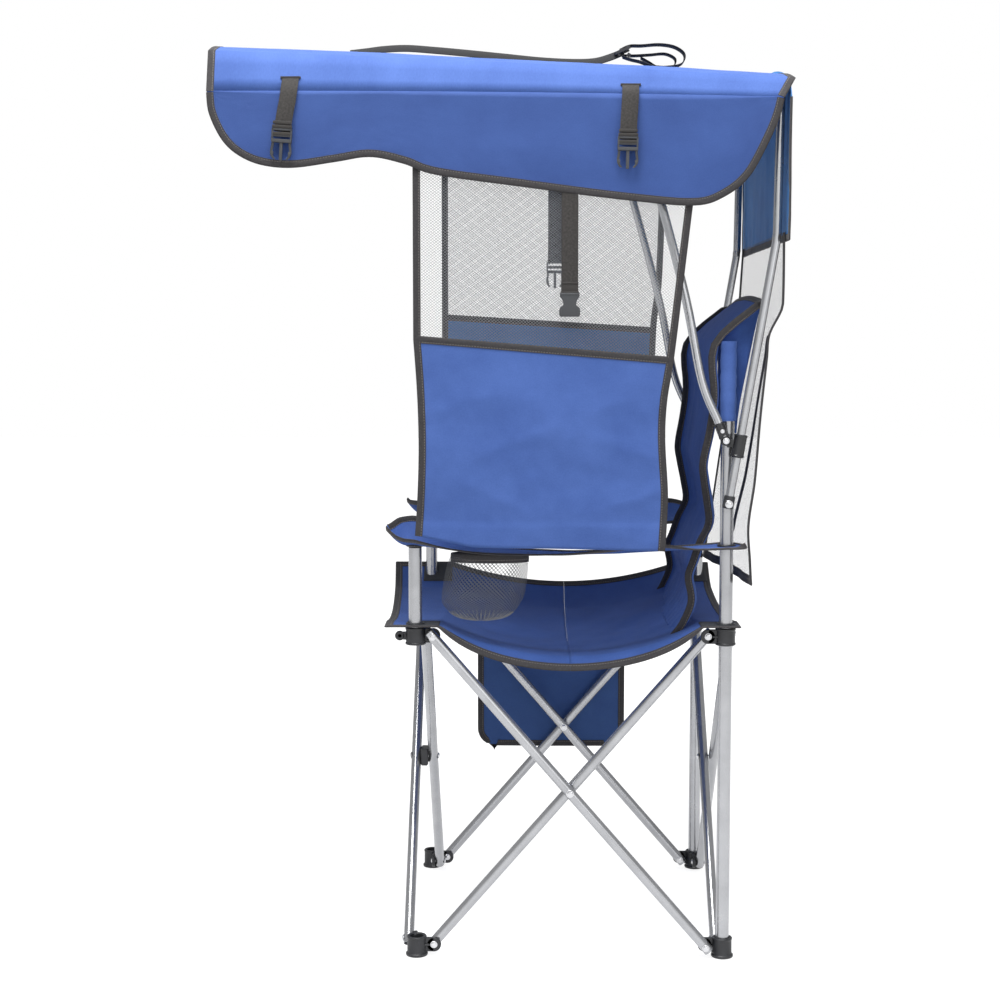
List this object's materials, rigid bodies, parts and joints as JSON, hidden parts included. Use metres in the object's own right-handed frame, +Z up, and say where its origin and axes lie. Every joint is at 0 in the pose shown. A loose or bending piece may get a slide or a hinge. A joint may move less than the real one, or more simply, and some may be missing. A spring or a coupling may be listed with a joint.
{
  "type": "camping chair with canopy",
  "caption": "Folding cloth camping chair on crossed tube legs, with arms, a cup holder, a side pocket and a tilting canopy with drop panels.",
  "frame": {"origin": "on the floor, under the middle of the whole chair with its canopy", "axes": "+Z up; the chair faces -Y; +X is the sitter's left, the side with the cup holder"},
  "size_m": [0.59, 0.834, 1.3857],
  "materials": {
    "satin_steel": "silver powder coat, satin",
    "black_nylon": "moulded, matt",
    "zinc_rivet": "zinc plated",
    "blue_cloth": "woven polyester, royal blue, dark binding",
    "navy_cloth": "woven polyester, shaded navy",
    "black_mesh": "knitted net, dark thread",
    "black_webbing": "woven webbing with moulded buckle"
  },
  "bodies": {
    "rear_left_post": {"foot_rear_left": "black_nylon", "back_post_left": "satin_steel", "back_sleeve_left": "blue_cloth", "backrest": "blue_cloth", "canopy_pivot_rivet_left": "zinc_rivet"},
    "side_leg_left_aft": {"side_leg_left_aft": "satin_steel", "side_rivet_left": "zinc_rivet"},
    "side_leg_left_fore": {"side_leg_left_fore": "satin_steel"},
    "front_left_foot": {"foot_front_left": "black_nylon"},
    "front_left_hub": {"hub_front_left": "black_nylon", "arm_post_left": "satin_steel", "armrest_left": "blue_cloth", "cup_holder": "black_mesh"},
    "rear_left_hub": {"hub_rear_left": "black_nylon"},
    "front_leg_left": {"front_leg_left": "satin_steel", "front_bolt": "zinc_rivet", "front_spacer": "black_nylon"},
    "front_leg_right": {"front_leg_right": "satin_steel"},
    "front_right_foot": {"foot_front_right": "black_nylon"},
    "front_right_hub": {"hub_front_right": "black_nylon", "arm_post_right": "satin_steel", "armrest_right": "blue_cloth"},
    "rear_leg_left": {"rear_leg_left": "satin_steel", "rear_rivet": "zinc_rivet"},
    "rear_leg_right": {"rear_leg_right": "satin_steel"},
    "rear_right_post": {"foot_rear_right": "black_nylon", "back_post_right": "satin_steel", "back_sleeve_right": "blue_cloth", "canopy_pivot_rivet_right": "zinc_rivet"},
    "rear_right_hub": {"hub_rear_right": "black_nylon", "side_pocket": "navy_cloth"},
    "side_leg_right_aft": {"side_leg_right_aft": "satin_steel", "side_rivet_right": "zinc_rivet"},
    "side_leg_right_fore": {"side_leg_right_fore": "satin_steel"},
    "seat_front": {"seat_front_panel": "blue_cloth"},
    "seat_rear": {"seat_rear_panel": "blue_cloth"},
    "canopy_left": {"canopy_rear_tube_left": "satin_steel", "canopy_foot_cap_left": "black_nylon", "canopy_clamp_left": "black_nylon", "canopy_front_tube_left": "satin_steel", "canopy_elbow_left": "black_nylon", "elbow_rivet_left": "zinc_rivet", "roof": "blue_cloth", "valance_left": "blue_cloth", "valance_rear": "navy_cloth", "rear_net": "black_mesh", "side_panel_left": "blue_cloth", "tie_strap_front_left": "black_webbing", "tie_strap_rear_left": "black_webbing", "centre_strap_left": "black_webbing", "shoulder_strap": "black_webbing"},
    "canopy_right": {"canopy_rear_tube_right": "satin_steel", "canopy_foot_cap_right": "black_nylon", "canopy_clamp_right": "black_nylon", "canopy_front_tube_right": "satin_steel", "canopy_elbow_right": "black_nylon", "elbow_rivet_right": "zinc_rivet", "valance_right": "blue_cloth", "side_panel_right": "blue_cloth", "centre_strap_right": "black_webbing"}
  },
  "joints": [
    {"name": "fold", "type": "hinge", "parent": "rear_left_post", "child": "side_leg_left_aft", "pos_m": [0.2393, 0.31, 0.018], "axis": [-1, 0, 0], "range_deg": [0, 31], "deforming": ["seat_front_panel", "seat_rear_panel", "backrest", "armrest_left", "armrest_right", "cup_holder", "side_pocket", "roof", "valance_rear", "rear_net", "shoulder_strap"]},
    {"name": "side_left_crossing", "type": "hinge", "parent": "side_leg_left_aft", "child": "side_leg_left_fore", "pos_m": [0.231, 0.105, 0.254], "axis": [1, 0, 0], "range_deg": [0, 62]},
    {"name": "front_left_foot_pivot", "type": "hinge", "parent": "side_leg_left_fore", "child": "front_left_foot", "pos_m": [0.2227, -0.1, 0.018], "axis": [-1, 0, 0], "range_deg": [0, 31]},
    {"name": "rear_left_hub_pivot", "type": "hinge", "parent": "side_leg_left_fore", "child": "rear_left_hub", "pos_m": [0.2227, 0.31, 0.49], "axis": [-1, 0, 0], "range_deg": [0, 31]},
    {"name": "front_left_hub_pivot", "type": "hinge", "parent": "side_leg_left_aft", "child": "front_left_hub", "pos_m": [0.2393, -0.1, 0.49], "axis": [1, 0, 0], "range_deg": [0, 31]},
    {"name": "front_legs_pivot", "type": "hinge", "parent": "front_left_foot", "child": "front_leg_left", "pos_m": [0.205, -0.1398, 0.018], "axis": [0, 1, 0], "range_deg": [0, 31]},
    {"name": "front_crossing", "type": "hinge", "parent": "front_leg_left", "child": "front_leg_right", "pos_m": [0, -0.126, 0.254], "axis": [0, -1, 0], "range_deg": [0, 62]},
    {"name": "front_right_foot_pivot", "type": "hinge", "parent": "front_leg_right", "child": "front_right_foot", "pos_m": [-0.205, -0.1122, 0.018], "axis": [0, 1, 0], "range_deg": [0, 31]},
    {"name": "front_right_hub_pivot", "type": "hinge", "parent": "front_leg_left", "child": "front_right_hub", "pos_m": [-0.205, -0.1398, 0.49], "axis": [0, -1, 0], "range_deg": [0, 31]},
    {"name": "rear_legs_pivot", "type": "hinge", "parent": "rear_left_post", "child": "rear_leg_left", "pos_m": [0.205, 0.3277, 0.018], "axis": [0, 1, 0], "range_deg": [0, 31]},
    {"name": "rear_crossing", "type": "hinge", "parent": "rear_leg_left", "child": "rear_leg_right", "pos_m": [0, 0.336, 0.254], "axis": [0, -1, 0], "range_deg": [0, 62]},
    {"name": "rear_right_foot_pivot", "type": "hinge", "parent": "rear_leg_right", "child": "rear_right_post", "pos_m": [-0.205, 0.3443, 0.018], "axis": [0, 1, 0], "range_deg": [0, 31]},
    {"name": "rear_right_hub_pivot", "type": "hinge", "parent": "rear_leg_left", "child": "rear_right_hub", "pos_m": [-0.205, 0.3277, 0.49], "axis": [0, -1, 0], "range_deg": [0, 31]},
    {"name": "side_right_pivot", "type": "hinge", "parent": "rear_right_post", "child": "side_leg_right_aft", "pos_m": [-0.2227, 0.31, 0.018], "axis": [-1, 0, 0], "range_deg": [0, 31]},
    {"name": "side_right_crossing", "type": "hinge", "parent": "side_leg_right_aft", "child": "side_leg_right_fore", "pos_m": [-0.231, 0.105, 0.254], "axis": [1, 0, 0], "range_deg": [0, 62]},
    {"name": "seat_front_drop", "type": "hinge", "parent": "front_left_hub", "child": "seat_front", "pos_m": [0, -0.126, 0.5065], "axis": [-1, 0, 0], "range_deg": [0, 70]},
    {"name": "seat_rear_drop", "type": "hinge", "parent": "rear_left_hub", "child": "seat_rear", "pos_m": [0, 0.336, 0.5065], "axis": [1, 0, 0], "range_deg": [0, 70]},
    {"name": "canopy_tilt", "type": "hinge", "parent": "rear_left_post", "child": "canopy_left", "pos_m": [0.2513, 0.336, 0.69], "axis": [-1, 0, 0], "range_deg": [0, 15]},
    {"name": "canopy_tilt_right", "type": "hinge", "parent": "rear_right_post", "child": "canopy_right", "pos_m": [-0.2513, 0.336, 0.69], "axis": [-1, 0, 0], "range_deg": [0, 15]}
  ],
  "couplings": [
    {"joint": "side_left_crossing", "follows": "fold", "ratio": 2},
    {"joint": "front_left_foot_pivot", "follows": "fold", "ratio": 1},
    {"joint": "rear_left_hub_pivot", "follows": "fold", "ratio": 1},
    {"joint": "front_left_hub_pivot", "follows": "fold", "ratio": 1},
    {"joint": "front_legs_pivot", "follows": "fold", "ratio": 1},
    {"joint": "front_crossing", "follows": "fold", "ratio": 2},
    {"joint": "front_right_foot_pivot", "follows": "fold", "ratio": 1},
    {"joint": "front_right_hub_pivot", "follows": "fold", "ratio": 1},
    {"joint": "rear_legs_pivot", "follows": "fold", "ratio": 1},
    {"joint": "rear_crossing", "follows": "fold", "ratio": 2},
    {"joint": "rear_right_foot_pivot", "follows": "fold", "ratio": 1},
    {"joint": "rear_right_hub_pivot", "follows": "fold", "ratio": 1},
    {"joint": "side_right_pivot", "follows": "fold", "ratio": 1},
    {"joint": "side_right_crossing", "follows": "fold", "ratio": 2},
    {"joint": "seat_front_drop", "follows": "fold", "ratio": 2.2481},
    {"joint": "seat_rear_drop", "follows": "fold", "ratio": 2.2481},
    {"joint": "canopy_tilt_right", "follows": "canopy_tilt", "ratio": 1}
  ]
}
